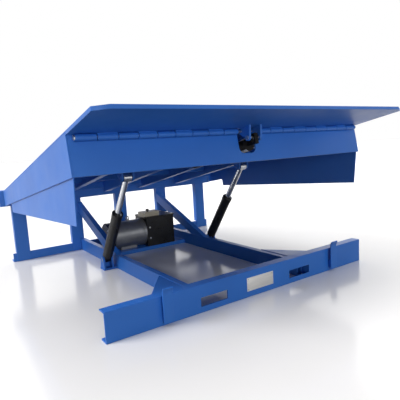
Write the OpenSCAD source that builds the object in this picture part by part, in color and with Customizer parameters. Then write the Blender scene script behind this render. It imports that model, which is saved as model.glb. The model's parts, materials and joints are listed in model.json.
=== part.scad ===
// Hydraulic dock leveler with a swinging lip, shown raised with the lip out.
// Millimetres, +X to the right, +Y to the rear, +Z up, the floor at Z = 0.

/* [Deck] */
// Width of the deck and of the lip
deck_w = 2000; // [1700:10:2300]
// Length of the deck plate
deck_l = 1815; // [1600:5:2400]
// Thickness of the deck plate
deck_t = 8; // [6:0.5:12]
// Height of the deck top when it lies level
deck_level = 595; // [560:5:700]
// Slope of the raised deck in degrees
deck_slope = 11.4; // [8:0.1:13]
// Depth of the front header below the deck top
header_h = 201; // [180:1:230]
// Thickness of the front header
header_t = 10; // [8:1:16]
// Half width of the opening in the header for the lip drive
drive_gap = 60; // [58:1:64]
// Depth of that opening below the deck top
drive_depth = 152; // [150:1:165]
// Thickness of the side skirts
skirt_t = 8; // [5:1:10]
// Depth of a side skirt at the rear, below the deck top
skirt_rear = 118; // [100:1:150]
// Thickness of the toe guards
toe_t = 5; // [3:1:8]
// Lowest point of a toe guard at its front, below the deck top
toe_front = 408; // [350:1:420]
// Lowest point of a toe guard at its rear, below the deck top
toe_rear = 194; // [170:1:230]
// Distance of the toe guard's lower front corner from the header's face
toe_lean = 73; // [40:1:120]
// Distance of the toe guard's rear edge from the rear hinge
toe_start = 232; // [200:1:400]

/* [Deck stiffeners] */
// Depth of the deck beams below the deck top
rib_h = 100; // [80:1:120]
// Width of a deck beam's flange
rib_flange = 45; // [30:1:60]
// Steel thickness of the deck beams
rib_t = 6; // [4:1:10]
// Distance of the inner deck beams from the middle
rib_in = 184; // [160:1:200]
// Distance of the outer deck beams from the middle
rib_out = 552; // [545:1:620]
// Distance of the cross bar from the rear hinge
bar_at = 570; // [400:10:700]

/* [Rear hinge] */
// Distance of the rear hinge axis below the deck top
hinge_drop = 34; // [32:1:40]
// Distance of the rear hinge axis in front of the rear frame
hinge_reach = 43; // [36:1:60]
// Distance of the deck's rear edge behind the hinge axis
deck_back = 5; // [0:1:10]
// Diameter of the rear hinge pins
hinge_pin_d = 18; // [16:1:22]
// Spacing of the rear hinges
hinge_pitch = 432; // [400:1:460]

/* [Lip] */
// Reach of the lip in front of the header
lip_l = 370; // [300:5:380]
// Thickness of the lip
lip_t = 18; // [14:1:20]
// Radius of the hinge knuckles of the lip
knuckle_r = 15; // [12:0.5:15]
// Diameter of the lip hinge pin
lip_pin_d = 14; // [10:1:16]
// Spacing of the knuckles
knuckle_pitch = 100; // [90:1:102]
// Gap between two knuckles
knuckle_gap = 4; // [2:0.5:8]
// Distance of the first knuckle from the middle
knuckle_start = 70; // [68:1:80]
// Length of the corner cut at the front of the lip
corner_l = 30; // [10:5:60]
// Width of the corner cut at the front of the lip
corner_w = 65; // [20:5:120]

/* [Lip drive] */
// Lever arm of the lip lugs, forward and down from the lip hinge
lug_arm = 45; // [42:1:48]
// Thickness of a lip lug
lug_t = 12; // [8:1:14]
// Distance of a lug's inner face from the middle
lug_x = 34; // [30:1:36]
// Diameter of the drive pin
drive_pin_d = 16; // [14:1:18]
// Diameter of the lip cylinder's rod
lip_rod_d = 30; // [24:1:32]
// Diameter of the head on that rod
lip_head_d = 76; // [60:1:78]
// Outside diameter of the lip cylinder
lip_barrel_d = 60; // [50:1:66]
// Distance of the lip cylinder's axis below the drive pin
rod_drop = 28; // [20:1:29]
// Thickness of the slotted eye on the rod head
eye_t = 24; // [16:1:40]

/* [Lift cylinders] */
// Distance of a lift cylinder from the middle
lift_x = 469; // [456:1:484]
// Distance of the lower pivot from the front of the frame
lift_y = 1142; // [1100:2:1170]
// Height of the lower pivot
lift_z = 75; // [65:1:90]
// Distance of the upper pivot from the rear hinge axis, along the deck
lift_along = 1177; // [1150:1:1210]
// Distance of the upper pivot below the rear hinge axis
lift_drop = 104; // [102:1:115]
// Outside diameter of the barrel
barrel_d = 72; // [62:1:78]
// Length of the barrel from its lower pivot
barrel_l = 459; // [380:1:480]
// Diameter of the rod
rod_d = 40; // [30:1:46]
// Diameter of the lower pivot pin
low_pin_d = 26; // [20:1:30]
// Diameter of the upper pivot pin
up_pin_d = 24; // [20:1:26]
// Radial play of the rod eye round the upper pin
eye_play = 8; // [8:0.5:10]

/* [Front beam] */
// Length of the front beam
beam_w = 1867; // [1600:1:1920]
// Height of the front beam
beam_h = 150; // [130:1:160]
// Depth of the front beam's flanges
beam_d = 60; // [45:1:90]
// Steel thickness of the front beam
beam_t = 8; // [5:1:12]
// Middle of a fork slot
slot_x = 325; // [300:1:330]
// Width of a fork slot
slot_w = 176; // [120:1:190]
// Lower edge of a fork slot
slot_z = 31; // [20:1:40]
// Height of a fork slot
slot_h = 49; // [40:1:60]
// Middle of a lip keeper
keeper_x = 621; // [560:1:700]
// Width of a lip keeper
keeper_w = 55; // [40:1:80]
// Top of a lip keeper
keeper_h = 198; // [170:1:199]
// Gap between a lip keeper and the beam
keeper_gap = 20; // [12:1:30]
// Thickness of a lip keeper
keeper_t = 8; // [6:1:10]

/* [Base and rear frame] */
// Distance from the front of the beam to the front of the rear frame
frame_l = 1895; // [1880:5:1920]
// Distance of a base rail's inner face from the middle
rail_x = 372; // [368:1:376]
// Width of a base rail
rail_w = 40; // [30:1:44]
// Height of a base rail
rail_h = 100; // [80:1:110]
// Wall thickness of the rails and braces
tube_t = 4; // [3:0.5:6]
// Length of a corner gusset along its rail
gusset_l = 430; // [300:5:500]
// Width of a corner gusset along the beam
gusset_w = 310; // [200:5:400]
// Thickness of a corner gusset
gusset_t = 10; // [6:1:12]
// Distance of the posts next to the middle one
post_in = 432; // [425:1:440]
// Distance of the outermost posts from the ends of the rear top beam
post_inset = 134; // [110:1:180]
// Width of a post
post_w = 105; // [90:1:110]
// Depth of a post
post_d = 50; // [40:1:70]
// Length of the rear base angle
base_w = 1950; // [1930:5:2040]
// Height of the rear base angle
base_h = 70; // [50:1:90]
// Depth of the rear base angle
base_d = 90; // [80:1:120]
// Length of the rear top beam
top_w = 2060; // [1960:5:2200]
// Height of the rear top beam
top_h = 129; // [100:1:140]
// Depth of the rear top beam
top_d = 80; // [60:1:80]
// Height where a brace's lower edge meets its post
brace_z = 345; // [320:1:350]
// Angle of a brace in degrees
brace_a = 22; // [21:0.5:24]
// Depth of a brace
brace_h = 75; // [50:1:78]

/* [Power unit] */
// Front of the tray from the front of the frame
tray_y = 1405; // [1380:5:1420]
// Length of the tray
tray_l = 250; // [240:5:300]
// Height of the tray
tray_h = 30; // [20:1:50]
// Left side of the tank
tank_x = 14; // [0:1:30]
// Width of the tank
tank_w = 260; // [200:1:290]
// Depth of the tank
tank_d = 225; // [190:1:235]
// Height of the tank
tank_h = 255; // [240:1:270]
// Diameter of the motor
motor_d = 236; // [200:1:240]
// Length of the motor without its end cap
motor_l = 286; // [250:1:300]
// Length of the motor's end cap
cap_l = 42; // [30:1:50]
// Width of the valve block
valve_w = 157; // [120:1:200]
// Height of the valve block
valve_h = 41; // [30:1:60]

/* [Hidden] */
$fn = 48;
// play of a running joint, and clearance between pieces that move
play = 0.3;
side_gap = 5;
// rear hinge axis, from the front of the frame
hinge_y = frame_l - hinge_reach;
hinge_z = deck_level - hinge_drop;
// levels in the deck's own frame, which starts at the rear hinge axis
plate_low = hinge_drop - deck_t;
rib_low = hinge_drop - rib_h;
front_y = deck_back - deck_l;
header_y = front_y + header_t;
skirt_x = deck_w / 2 - skirt_t;
// lip hinge axis
lip_low = hinge_drop - lip_t;
lip_axis_z = lip_low - knuckle_r - 1;
lip_axis_y = front_y - knuckle_r - 3;
lip_back = front_y - 5;
lip_tip = front_y - lip_l;
knuckles = 9;
pin_end = knuckle_start + knuckles * knuckle_pitch;
lip_bore = lip_pin_d / 2 + play;
// drive pin of the lip, and how far it dips half way
drive_y = lip_axis_y - lug_arm;
drive_z = lip_axis_z - lug_arm;
drive_dip = lug_arm * (sqrt(2) - 1);
drive_stroke = 2 * lug_arm;
cyl_z = drive_z - rod_drop;
boss_r = drive_pin_d / 2 + 10;
slot_r = drive_pin_d / 2 + 4;
eye_back = drive_y + slot_r + 36;
head_l = 55;
head_back = eye_back + head_l;
lip_barrel_y = head_back + drive_stroke + 11;
lip_barrel_l = 404;
lip_pivot_y = lip_barrel_y + lip_barrel_l + 24;
lip_bore_l = lip_barrel_l - 28;
lip_rod_l = lip_bore_l - 5;
// lift cylinder in the raised pose
function deck_pt(y, z) = [hinge_y + y * cos(deck_slope) + z * sin(deck_slope),
                          hinge_z - y * sin(deck_slope) + z * cos(deck_slope)];
lift_up = deck_pt(-lift_along, -lift_drop);
lift_len = norm(lift_up - [lift_y, lift_z]);
lift_lean = atan2(lift_y - lift_up[0], lift_up[1] - lift_z);
foot_ear = 25;
foot_ear_t = 12;
foot_ear_r = 28;
foot_half = foot_ear_r + 12;
foot_web_t = 8;
foot_web_drop = 20;
rod_bore_l = 310;
neck_l = 42;
up_ear = 31;
up_eye_r = up_pin_d / 2 + eye_play + 9;
// rear ends, and the middle of the whole length
rear_y = frame_l + max(base_d, top_d);
mid_y = (deck_pt(lip_tip, lip_low)[0] + rear_y) / 2;
post_top = deck_level - top_h;
post_out = top_w / 2 - post_inset;
foot_top = 12;
post_t = 8;
motor_r = motor_d / 2;
motor_y = tray_y + tray_l / 2;
motor_z = tray_h + motor_r + 1;
tank_top = tray_h + tank_h;
blue = [0.10, 0.25, 0.58];
black = [0.05, 0.05, 0.06];
steel = [0.72, 0.73, 0.74];
grey = [0.50, 0.51, 0.52];

// frame pieces are drawn from the front of the frame
module on_frame() { translate([0, -mid_y, 0]) children(); }

// deck pieces are drawn level, from the rear hinge axis
module on_deck() { translate([0, hinge_y - mid_y, hinge_z]) rotate([-deck_slope, 0, 0]) children(); }

// lift cylinders are drawn upright, from their lower pivot
module on_lift() { translate([lift_x, lift_y - mid_y, lift_z]) rotate([lift_lean, 0, 0]) children(); }

// the same piece on the left
module flip() { mirror([1, 0, 0]) children(); }

// a profile in Y and Z, drawn out along X between two places
module along_x(x0, x1) { translate([x0, 0, 0]) rotate([90, 0, 90]) linear_extrude(x1 - x0) children(); }

// a round bar along X between two places
module bar_x(x0, x1, r) { translate([x0, 0, 0]) rotate([0, 90, 0]) cylinder(r = r, h = x1 - x0); }

module box(lo, hi) { translate(lo) cube(hi - lo); }

module front_beam() {
    color(blue) on_frame() difference() {
        box([-beam_w / 2, 0, 0], [beam_w / 2, beam_d, beam_h]);
        box([-beam_w / 2 - 1, beam_t, beam_t], [beam_w / 2 + 1, beam_d + 1, beam_h - beam_t]);
        for (s = [-1, 1])
            box([s * slot_x - slot_w / 2, -1, slot_z], [s * slot_x + slot_w / 2, beam_t + 1, slot_z + slot_h]);
    }
}

// strip in front of the web, held by a foot and bent forward at the top
flare_r = 42;
flare_a = 42;
flare_z = keeper_h - (flare_r + keeper_t) * sin(flare_a);
module lip_keeper() {
    color(blue) on_frame() translate([keeper_x, 0, 0]) {
        box([-keeper_w / 2, -keeper_gap - keeper_t, 18], [keeper_w / 2, -keeper_gap, flare_z]);
        translate([-keeper_w / 2, -keeper_gap - keeper_t - flare_r, flare_z]) rotate([90, 0, 90])
            rotate_extrude(angle = flare_a)
                translate([flare_r, 0]) square([keeper_t, keeper_w]);
        box([-keeper_w / 2 + 8, -keeper_gap, 22], [keeper_w / 2 - 8, 0, 70]);
    }
}
module lip_keeper_left() { flip() lip_keeper(); }
module lip_keeper_right() { lip_keeper(); }

// tube from the lower flange of the front beam to the rear posts
module base_rail() {
    color(blue) on_frame() difference() {
        box([rail_x, beam_d, 0], [rail_x + rail_w, frame_l, rail_h]);
        box([rail_x + tube_t, beam_d - 1, tube_t], [rail_x + rail_w - tube_t, frame_l + 1, rail_h - tube_t]);
    }
}
module base_rail_left() { flip() base_rail(); }
module base_rail_right() { base_rail(); }

module corner_gusset() {
    color(blue) on_frame() translate([rail_x + rail_w, 0, rail_h - gusset_t]) linear_extrude(gusset_t)
        polygon([[0, beam_t], [gusset_w, beam_t], [gusset_w, beam_t + 12], [12, gusset_l], [0, gusset_l]]);
}
module corner_gusset_left() { flip() corner_gusset(); }
module corner_gusset_right() { corner_gusset(); }

module unit_tray() {
    color(blue) on_frame() difference() {
        box([-rail_x, tray_y, 0], [rail_x, tray_y + tray_l, tray_h]);
        box([-rail_x - 1, tray_y + 6, -1], [rail_x + 1, tray_y + tray_l - 6, tray_h - 6]);
    }
}

module rear_base_angle() {
    color(blue) on_frame() difference() {
        box([-base_w / 2, frame_l + post_t, 0], [base_w / 2, frame_l + base_d, base_h]);
        box([-base_w / 2 - 1, frame_l + 2 * post_t, post_t], [base_w / 2 + 1, frame_l + base_d + 1, base_h + 1]);
    }
}

module rear_post(x) {
    color(blue) on_frame() translate([x, frame_l, 0]) {
        box([-post_w / 2, 0, 0], [post_w / 2, post_t, post_top]);
        for (s = [-1, 1]) translate([s * (post_w - post_t) / 2, 0, 0])
            box([-post_t / 2, post_t, base_h], [post_t / 2, post_d, post_top]);
    }
}

module rear_post_1() { rear_post(-post_out); }
module rear_post_2() { rear_post(-post_in); }
module rear_post_3() { rear_post(0); }
module rear_post_4() { rear_post(post_in); }
module rear_post_5() { rear_post(post_out); }

module rear_top_beam() {
    color(blue) on_frame() difference() {
        box([-top_w / 2, frame_l, post_top], [top_w / 2, frame_l + top_d, deck_level]);
        box([-top_w / 2 - 1, frame_l + 10, post_top + post_t],
            [top_w / 2 + 1, frame_l + top_d + 1, deck_level - post_t]);
    }
}

// slanting tube, cut to the post and to the top of the rail
brace_v = brace_h / cos(brace_a);
brace_i = tube_t / cos(brace_a);
// the hollow of the brace runs past its upper end
brace_past = 500;
function brace_y(z, up) = frame_l - (brace_z + up - z) / tan(brace_a);
module brace() {
    color(blue) on_frame() difference() {
        along_x(rail_x, rail_x + rail_w) polygon([[frame_l, brace_z], [frame_l, brace_z + brace_v],
            [brace_y(rail_h, brace_v), rail_h], [brace_y(rail_h, 0), rail_h]]);
        along_x(rail_x + tube_t, rail_x + rail_w - tube_t) polygon([
            [brace_y(rail_h - 20, brace_i), rail_h - 20], [brace_y(rail_h - 20, brace_v - brace_i), rail_h - 20],
            [brace_y(brace_z + brace_past, brace_v - brace_i), brace_z + brace_past],
            [brace_y(brace_z + brace_past, brace_i), brace_z + brace_past]]);
    }
}
module brace_left() { flip() brace(); }
module brace_right() { brace(); }

// lugs on the rear frame, each with its pin
lug_half = 8;
ear_t = 10;
ear_gap = 1;
hinge_lug_r = 16;
module rear_hinge_lugs() {
    color(blue) on_frame() for (i = [-2:2]) translate([i * hinge_pitch, hinge_y, hinge_z]) {
        box([-lug_half, 0, -hinge_lug_r], [lug_half, hinge_reach, hinge_lug_r]);
        bar_x(-lug_half, lug_half, hinge_lug_r);
        bar_x(-lug_half - ear_gap - ear_t - 3, lug_half + ear_gap + ear_t + 3, hinge_pin_d / 2);
    }
}

// foot beside the rail, with two ears, a web behind them and the lower pivot pin
module cylinder_foot() {
    out = foot_ear + foot_ear_t;
    color(blue) on_frame() {
        box([rail_x + rail_w, lift_y - foot_half, 0], [lift_x + out + 3, lift_y + foot_half, foot_top]);
        translate([lift_x, lift_y, lift_z]) {
            for (s = [-1, 1]) translate([s * (foot_ear + foot_ear_t / 2), 0, 0]) {
                bar_x(-foot_ear_t / 2, foot_ear_t / 2, foot_ear_r);
                along_x(-foot_ear_t / 2, foot_ear_t / 2) polygon([[-foot_ear_r, 0],
                    [-foot_half, foot_top - lift_z], [foot_half, foot_top - lift_z], [foot_ear_r, 0]]);
            }
            translate([0, foot_ear_r, 0])
                box([-foot_ear, -foot_web_t / 2, foot_top - lift_z], [foot_ear, foot_web_t / 2, -foot_web_drop]);
            bar_x(-out - 5, out + 5, low_pin_d / 2);
        }
    }
}
module cylinder_foot_left() { flip() cylinder_foot(); }
module cylinder_foot_right() { cylinder_foot(); }

module oil_tank() {
    color(black) on_frame() translate([tank_x, tray_y + 5, tray_h]) {
        cube([tank_w, tank_d, tank_h - 8]);
        translate([-6, -6, tank_h - 8]) cube([tank_w + 12, tank_d + 12, 8]);
    }
}

// motor body with its flange at the tank and a lifting eye
module pump_motor() {
    color(grey) on_frame() translate([tank_x, motor_y, motor_z]) {
        bar_x(-22, 0, motor_r);
        bar_x(-motor_l, -22, motor_r - 4);
        translate([-motor_l * 0.43, 0, motor_r - 8]) {
            cylinder(r = 12, h = 12);
            translate([0, 0, 24]) rotate([90, 0, 0]) rotate_extrude() translate([13, 0]) circle(r = 4, $fn = 16);
        }
        box([-motor_l + 60, -60, tray_h - motor_z], [-80, 60, -motor_r + 30]);
    }
}
module motor_cap() {
    color(black) on_frame() translate([tank_x - motor_l, motor_y, motor_z]) {
        bar_x(-cap_l + 8, 0, motor_r - 2);
        bar_x(-cap_l, -cap_l + 8, motor_r - 12);
    }
}

valve_x = tank_x - 26;
valve_y = tray_y + 20;
valve_d = 95;
module valve_block() {
    color(grey) on_frame()
        box([valve_x, valve_y, tank_top], [valve_x + valve_w, valve_y + valve_d, tank_top + valve_h]);
}
// knob on the block, near its front
module valve_knob() {
    color(black) on_frame() translate([valve_x + valve_w / 3, valve_y + 16, tank_top + valve_h]) {
        cylinder(r = 8, h = 8);
        translate([0, 0, 8]) cylinder(r = 13, h = 16);
    }
}

module deck_plate() {
    color(blue) on_deck() box([-deck_w / 2, front_y, plate_low], [deck_w / 2, deck_back, hinge_drop]);
}

// long channels under the plate, from the rear bar to the header
bar_back = -45;
rear_bar_t = 10;
module deck_beam(x, s) {
    color(blue) on_deck() {
        box([x, header_y, rib_low], [x + rib_t, bar_back, plate_low]);
        box([s > 0 ? x : x + rib_t - rib_flange, header_y, rib_low],
            [s > 0 ? x + rib_flange : x + rib_t, bar_back, rib_low + rib_t]);
    }
}
module deck_beam_1() { flip() deck_beam(rib_out - rib_t, 1); }
module deck_beam_2() { flip() deck_beam(rib_in, -1); }
module deck_beam_3() { deck_beam(rib_in, -1); }
module deck_beam_4() { deck_beam(rib_out - rib_t, 1); }

// flat bars across, and the bar along the rear edge
module deck_cross_bars() {
    low = plate_low - 60;
    color(blue) on_deck() {
        box([-rib_in, -bar_at - 8, low], [rib_in, -bar_at, plate_low]);
        for (m = [0, 1]) mirror([m, 0, 0]) {
            box([rib_in + rib_t, -bar_at - 8, low], [rib_out - rib_t, -bar_at, plate_low]);
            box([rib_out, -bar_at - 8, low], [skirt_x, -bar_at, plate_low]);
        }
        box([-skirt_x, bar_back, plate_low - 56], [skirt_x, bar_back + rear_bar_t, plate_low]);
    }
}

// cross tube between two deck beams, with the ears and pin of the upper pivot
module lift_bracket() {
    ear = 12;
    top = 40;
    color(blue) on_deck() {
        difference() {
            box([rib_in + rib_t, -lift_along - 50, rib_low], [rib_out - rib_t, -lift_along + 50, plate_low]);
            box([rib_in, -lift_along - 44, rib_low + 6], [rib_out, -lift_along + 44, plate_low - 6]);
        }
        translate([lift_x, -lift_along, -lift_drop]) {
            for (s = [-1, 1]) translate([s * (up_ear + ear / 2), 0, 0]) {
                bar_x(-ear / 2, ear / 2, 28);
                along_x(-ear / 2, ear / 2)
                    polygon([[-28, 0], [28, 0], [top, rib_low + lift_drop], [-top, rib_low + lift_drop]]);
            }
            bar_x(-up_ear - ear - 5, up_ear + ear + 5, up_pin_d / 2);
        }
    }
}
module lift_bracket_left() { flip() lift_bracket(); }
module lift_bracket_right() { lift_bracket(); }

module front_header() {
    color(blue) on_deck() difference() {
        box([-skirt_x, front_y, hinge_drop - header_h], [skirt_x, header_y, plate_low]);
        box([-drive_gap, front_y - 1, hinge_drop - drive_depth], [drive_gap, header_y + 1, plate_low + 1]);
    }
}

module side_skirt() {
    color(blue) on_deck() along_x(skirt_x, deck_w / 2) polygon([[deck_back, plate_low],
        [deck_back, hinge_drop - skirt_rear], [front_y, hinge_drop - header_h], [front_y, plate_low]]);
}
module side_skirt_left() { flip() side_skirt(); }
module side_skirt_right() { side_skirt(); }

// guard plate inside the skirt, hanging below it
function skirt_z(y) = hinge_drop - skirt_rear - (header_h - skirt_rear) * (deck_back - y) / deck_l;
toe_lap = 60;
module toe_guard() {
    color(blue) on_deck() along_x(skirt_x - toe_t, skirt_x) polygon([
        [-toe_start, skirt_z(-toe_start) + toe_lap], [-toe_start, hinge_drop - toe_rear],
        [front_y + toe_lean, hinge_drop - toe_front], [header_y + 2, hinge_drop - header_h],
        [header_y + 2, skirt_z(header_y) + toe_lap]]);
}
module toe_guard_left() { flip() toe_guard(); }
module toe_guard_right() { toe_guard(); }

// pairs of ears under the rear edge, running on the pins of the frame
module deck_hinge_lugs() {
    r = hinge_lug_r + 2;
    color(blue) on_deck() for (i = [-2:2], s = [-1, 1])
        translate([i * hinge_pitch + s * (lug_half + ear_gap + ear_t / 2), 0, 0]) difference() {
            union() {
                bar_x(-ear_t / 2, ear_t / 2, r);
                box([-ear_t / 2, bar_back + rear_bar_t, -r], [ear_t / 2, 0, plate_low]);
            }
            bar_x(-ear_t, ear_t, hinge_pin_d / 2 + play);
        }
}

// knuckles, odd ones on the lip and even ones on the deck
module knuckle(i) {
    x0 = knuckle_start + i * knuckle_pitch + knuckle_gap / 2;
    x1 = x0 + knuckle_pitch - knuckle_gap;
    translate([0, lip_axis_y, lip_axis_z]) difference() {
        union() {
            bar_x(x0, x1, knuckle_r);
            if (i % 2 == 0) box([x0, 0, -10], [x1, front_y - lip_axis_y, 10]);
            else box([x0, -10, 0], [x1, 10, lip_low - lip_axis_z]);
        }
        bar_x(x0 - 1, x1 + 1, lip_bore);
    }
}
module deck_knuckles() {
    color(blue) on_deck() for (m = [0, 1], i = [0:2:knuckles - 1]) mirror([m, 0, 0]) knuckle(i);
}
module lip_knuckles() {
    color(blue) on_deck() for (m = [0, 1], i = [1:2:knuckles - 1]) mirror([m, 0, 0]) knuckle(i);
}
module lip_hinge_pin() {
    end = pin_end - knuckle_gap / 2;
    color(steel) on_deck() translate([0, lip_axis_y, lip_axis_z]) {
        bar_x(-end, end, lip_pin_d / 2);
        for (m = [0, 1]) mirror([m, 0, 0]) bar_x(end, end + 6, knuckle_r - 3);
    }
}

// lip cylinder, held by an eye at its rear
module lip_cylinder_barrel() {
    color(black) on_deck() translate([0, 0, cyl_z]) difference() {
        union() {
            translate([0, lip_barrel_y, 0]) rotate([-90, 0, 0])
                cylinder(d = lip_barrel_d, h = lip_barrel_l);
            translate([0, lip_barrel_y, 0]) rotate([-90, 0, 0]) cylinder(d = lip_barrel_d + 8, h = 26);
            translate([0, lip_pivot_y, 0]) bar_x(-15, 15, 20);
            box([-15, lip_pivot_y - 26, -20], [15, lip_pivot_y, 20]);
        }
        translate([0, lip_barrel_y - 1, 0]) rotate([-90, 0, 0])
            cylinder(d = lip_rod_d + 2 * play, h = lip_bore_l + 1);
        translate([0, lip_pivot_y, 0]) bar_x(-16, 16, 10);
    }
}
module lip_cylinder_mount() {
    back = lip_pivot_y + 24;
    rise = 60;
    color(blue) on_deck() {
        box([-rib_in, back, rib_low + rib_t + 2], [rib_in, back + 10, plate_low]);
        for (s = [-1, 1]) translate([s * 21, 0, 0]) {
            box([-5, lip_pivot_y, cyl_z - 20], [5, back, cyl_z + rise]);
            translate([0, lip_pivot_y, cyl_z]) bar_x(-5, 5, 20);
        }
        translate([0, lip_pivot_y, cyl_z]) bar_x(-30, 30, 10);
    }
}
module lip_rod() {
    color(steel) on_deck() translate([0, head_back, cyl_z]) rotate([-90, 0, 0])
        cylinder(d = lip_rod_d, h = lip_rod_l);
}
// head in front of the rod, with a slotted eye for the drive pin
module lip_rod_head() {
    eye_top = drive_z + slot_r + 8;
    eye_low = drive_z - drive_dip - slot_r - 8;
    color(black) on_deck() difference() {
        union() {
            translate([0, eye_back, cyl_z]) rotate([-90, 0, 0]) cylinder(d = lip_head_d, h = head_l);
            box([-eye_t / 2, drive_y - slot_r - 10, eye_low], [eye_t / 2, eye_back + 1, eye_top]);
        }
        box([-eye_t, drive_y - slot_r, drive_z - drive_dip], [eye_t, drive_y + slot_r, drive_z]);
        for (z = [0, -drive_dip]) translate([0, drive_y, drive_z + z]) bar_x(-eye_t, eye_t, slot_r);
    }
}

module lip_plate() {
    half = deck_w / 2;
    color(blue) on_deck() translate([0, 0, lip_low]) linear_extrude(lip_t) polygon([[-half, lip_back],
        [half, lip_back], [half, lip_tip + corner_l], [half - corner_w, lip_tip],
        [corner_w - half, lip_tip], [-half, lip_tip + corner_l]]);
}

// two plates under the lip, round the hinge pin and out to the drive pin
module lip_lugs() {
    top = lip_low - lip_axis_z;
    color(blue) on_deck() for (m = [0, 1]) mirror([m, 0, 0]) translate([0, lip_axis_y, lip_axis_z])
        difference() {
            union() {
                along_x(lug_x, lug_x + lug_t) polygon([[12, top], [-lug_arm - 33, top],
                    [-lug_arm - boss_r, -lug_arm], [-lug_arm, -lug_arm - boss_r], [12, -12]]);
                bar_x(lug_x, lug_x + lug_t, lip_low - lip_axis_z);
                translate([0, -lug_arm, -lug_arm]) bar_x(lug_x, lug_x + lug_t, boss_r);
            }
            bar_x(lug_x - 1, lug_x + lug_t + 1, lip_bore);
        }
}
module lip_drive_pin() {
    end = lug_x + lug_t;
    color(steel) on_deck() translate([0, drive_y, drive_z]) {
        bar_x(-lug_x, lug_x, drive_pin_d / 2);
        for (m = [0, 1]) mirror([m, 0, 0]) bar_x(end, end + 5, drive_pin_d / 2 + 4);
    }
}

// barrel on a flat eye, open at the top for the rod
module lift_barrel() {
    eye = foot_ear - side_gap;
    color(black) on_lift() difference() {
        union() {
            translate([0, 0, neck_l]) cylinder(d = barrel_d, h = barrel_l - neck_l);
            translate([0, 0, barrel_l - 30]) cylinder(d = barrel_d + 4, h = 30);
            bar_x(-eye, eye, foot_ear_r - 3);
            box([-eye, 3 - foot_ear_r, 0], [eye, foot_ear_r - 3, neck_l + 5]);
        }
        translate([0, 0, barrel_l - rod_bore_l]) cylinder(d = rod_d + 2 * play, h = rod_bore_l + 1);
        bar_x(-foot_ear, foot_ear, low_pin_d / 2 + play);
    }
}
module lift_barrel_left() { flip() lift_barrel(); }
module lift_barrel_right() { lift_barrel(); }

module lift_rod() {
    color(steel) on_lift() difference() {
        union() {
            translate([0, 0, barrel_l - 110]) cylinder(d = rod_d, h = lift_len - barrel_l + 110 - up_eye_r + 8);
            translate([0, 0, lift_len]) bar_x(side_gap - up_ear, up_ear - side_gap, up_eye_r);
        }
        translate([0, 0, lift_len]) bar_x(-up_ear, up_ear, up_pin_d / 2 + eye_play);
    }
}
module lift_rod_left() { flip() lift_rod(); }
module lift_rod_right() { lift_rod(); }

front_beam();
lip_keeper_left();
lip_keeper_right();
base_rail_left();
base_rail_right();
corner_gusset_left();
corner_gusset_right();
unit_tray();
rear_base_angle();
rear_post_1();
rear_post_2();
rear_post_3();
rear_post_4();
rear_post_5();
rear_top_beam();
brace_left();
brace_right();
rear_hinge_lugs();
cylinder_foot_left();
cylinder_foot_right();
oil_tank();
pump_motor();
motor_cap();
valve_block();
valve_knob();
deck_plate();
deck_beam_1();
deck_beam_2();
deck_beam_3();
deck_beam_4();
deck_cross_bars();
lift_bracket_left();
lift_bracket_right();
front_header();
side_skirt_left();
side_skirt_right();
toe_guard_left();
toe_guard_right();
deck_hinge_lugs();
deck_knuckles();
lip_hinge_pin();
lip_cylinder_barrel();
lip_cylinder_mount();
lip_plate();
lip_knuckles();
lip_lugs();
lip_drive_pin();
lift_barrel_left();
lift_barrel_right();
lift_rod_left();
lift_rod_right();
lip_rod();
lip_rod_head();
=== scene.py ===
"""Dock leveler, raised with its lip out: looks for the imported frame, laid out as an add-on."""

import json
import math

import bmesh
import bpy
from mathutils import Matrix, Vector


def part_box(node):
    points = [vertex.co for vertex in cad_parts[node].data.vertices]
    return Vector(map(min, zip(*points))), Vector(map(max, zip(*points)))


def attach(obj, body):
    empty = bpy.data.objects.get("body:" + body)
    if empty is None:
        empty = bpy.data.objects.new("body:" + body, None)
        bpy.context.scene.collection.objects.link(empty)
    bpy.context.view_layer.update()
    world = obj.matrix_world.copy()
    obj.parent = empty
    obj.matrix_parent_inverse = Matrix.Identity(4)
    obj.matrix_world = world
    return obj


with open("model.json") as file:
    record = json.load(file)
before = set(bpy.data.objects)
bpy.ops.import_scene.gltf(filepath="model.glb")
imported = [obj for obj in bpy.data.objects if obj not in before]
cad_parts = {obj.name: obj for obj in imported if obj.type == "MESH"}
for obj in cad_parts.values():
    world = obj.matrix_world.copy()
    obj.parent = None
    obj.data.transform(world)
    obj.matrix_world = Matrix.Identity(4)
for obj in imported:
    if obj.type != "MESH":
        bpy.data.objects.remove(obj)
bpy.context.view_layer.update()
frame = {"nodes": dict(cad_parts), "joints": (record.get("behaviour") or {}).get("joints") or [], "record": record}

bl_info = {
    "name": "Dock Leveler Dressing",
    "version": (1, 0, 0),
    "blender": (4, 5, 0),
    "location": "View3D > Sidebar > Leveler",
    "description": "Paint, fasteners, welds, tread and studio for a hydraulic dock leveler",
    "category": "Object",
}

NODES = frame["nodes"]
JOINTS = {joint["name"]: joint for joint in frame["joints"]}
SIDES = (("left", -1), ("right", 1))
MM = 0.001

# The deck's own frame: origin on the rear hinge axis, level deck, forward along -Y.
SLOPE = math.radians(JOINTS["deck_tilt"]["range_deg"][1])
DECK = Matrix.Translation(JOINTS["deck_tilt"]["pos_m"]) @ Matrix.Rotation(-SLOPE, 4, "X")


def local_box(node):
    """Lowest and highest corner of a deck or lip node, in the deck's own frame."""
    points = [DECK.inverted() @ v.co for v in NODES[node].data.vertices]
    low = Vector([min(p[i] for p in points) for i in range(3)])
    high = Vector([max(p[i] for p in points) for i in range(3)])
    return low, high


PLATE = local_box("deck_plate")
LIP = local_box("lip_plate")
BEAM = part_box("front_beam")
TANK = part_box("oil_tank")
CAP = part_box("motor_cap")
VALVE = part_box("valve_block")

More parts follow.
